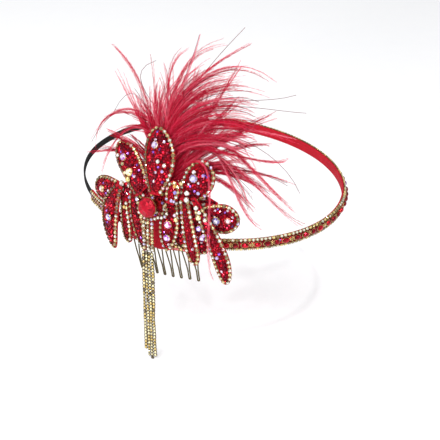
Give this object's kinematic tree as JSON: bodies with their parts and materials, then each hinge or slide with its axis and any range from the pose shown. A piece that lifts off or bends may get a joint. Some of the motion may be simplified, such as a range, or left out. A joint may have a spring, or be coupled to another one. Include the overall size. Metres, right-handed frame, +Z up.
{
  "type": "feather headpiece",
  "caption": "Rhinestone headband worn round the head, with a beaded flower at the side carrying an ostrich plume, a hanging chain tassel and a wire hair comb.",
  "frame": {"origin": "middle of the band's loop, where the head goes through it", "axes": "+Z up the wearer's head, -Y the way the face looks, -X the wearer's right side, which carries the flower"},
  "size_m": [0.172, 0.2019, 0.2269],
  "materials": {
    "red_felt": "pressed felt and woven tape, matt",
    "ruby_beading": "packed faceted beads and sequins, foil bright",
    "gold_rhinestone_chain": "pale gold cups holding clear cut stones",
    "crystal_stones": "clear cut glass with a rainbow coating, foil backed",
    "ruby_stones": "red cut glass, foil backed",
    "centre_red": "faceted red resin stone",
    "black_elastic": "ribbed woven elastic",
    "comb_wire": "antique gold plated wire",
    "ostrich": "dyed ostrich fronds, soft and matt"
  },
  "bodies": {
    "root": {"band_tape": "red_felt", "band_edge_upper": "gold_rhinestone_chain", "band_edge_lower": "gold_rhinestone_chain", "band_stones": "ruby_stones", "band_back_stones": "gold_rhinestone_chain", "elastic": "black_elastic", "felt_base": "red_felt", "petal_top": "ruby_beading", "petal_upper_left": "ruby_beading", "petal_left_round": "ruby_beading", "petal_left_leaf": "ruby_beading", "petal_left_finger": "ruby_beading", "petal_lower_left": "ruby_beading", "petal_lower_middle": "ruby_beading", "petal_inner_leaf": "ruby_beading", "petal_centre_finger": "ruby_beading", "petal_lower_right": "ruby_beading", "petal_long_finger": "ruby_beading", "petal_right_oval": "ruby_beading", "petal_upper_right": "ruby_beading", "petal_inner_small": "ruby_beading", "chain_top": "gold_rhinestone_chain", "chain_upper_left": "gold_rhinestone_chain", "chain_left_round": "gold_rhinestone_chain", "chain_left_leaf": "gold_rhinestone_chain", "chain_left_finger": "gold_rhinestone_chain", "chain_lower_left": "gold_rhinestone_chain", "chain_lower_middle": "gold_rhinestone_chain", "chain_inner_leaf": "gold_rhinestone_chain", "chain_centre_finger": "gold_rhinestone_chain", "chain_lower_right": "gold_rhinestone_chain", "chain_long_finger": "gold_rhinestone_chain", "chain_right_oval": "gold_rhinestone_chain", "chain_upper_right": "gold_rhinestone_chain", "chain_inner_small": "gold_rhinestone_chain", "stone_middle_upper": "crystal_stones", "stone_middle_lower": "crystal_stones", "stone_right_upper": "crystal_stones", "stone_right_lower": "crystal_stones", "stone_oval_inner": "crystal_stones", "stone_oval_outer": "crystal_stones", "stone_upper_left": "crystal_stones", "stone_left_upper": "crystal_stones", "stone_left_round": "crystal_stones", "stone_left_leaf": "crystal_stones", "stone_top": "crystal_stones", "stone_upper_right": "crystal_stones", "centre_stone": "centre_red", "centre_ring": "gold_rhinestone_chain", "tassel_panel": "gold_rhinestone_chain", "tassel_strand_1": "gold_rhinestone_chain", "tassel_strand_2": "gold_rhinestone_chain", "tassel_strand_3": "gold_rhinestone_chain", "tassel_strand_4": "gold_rhinestone_chain", "hair_comb": "comb_wire", "ostrich_plume": "ostrich"}
  },
  "joints": []
}
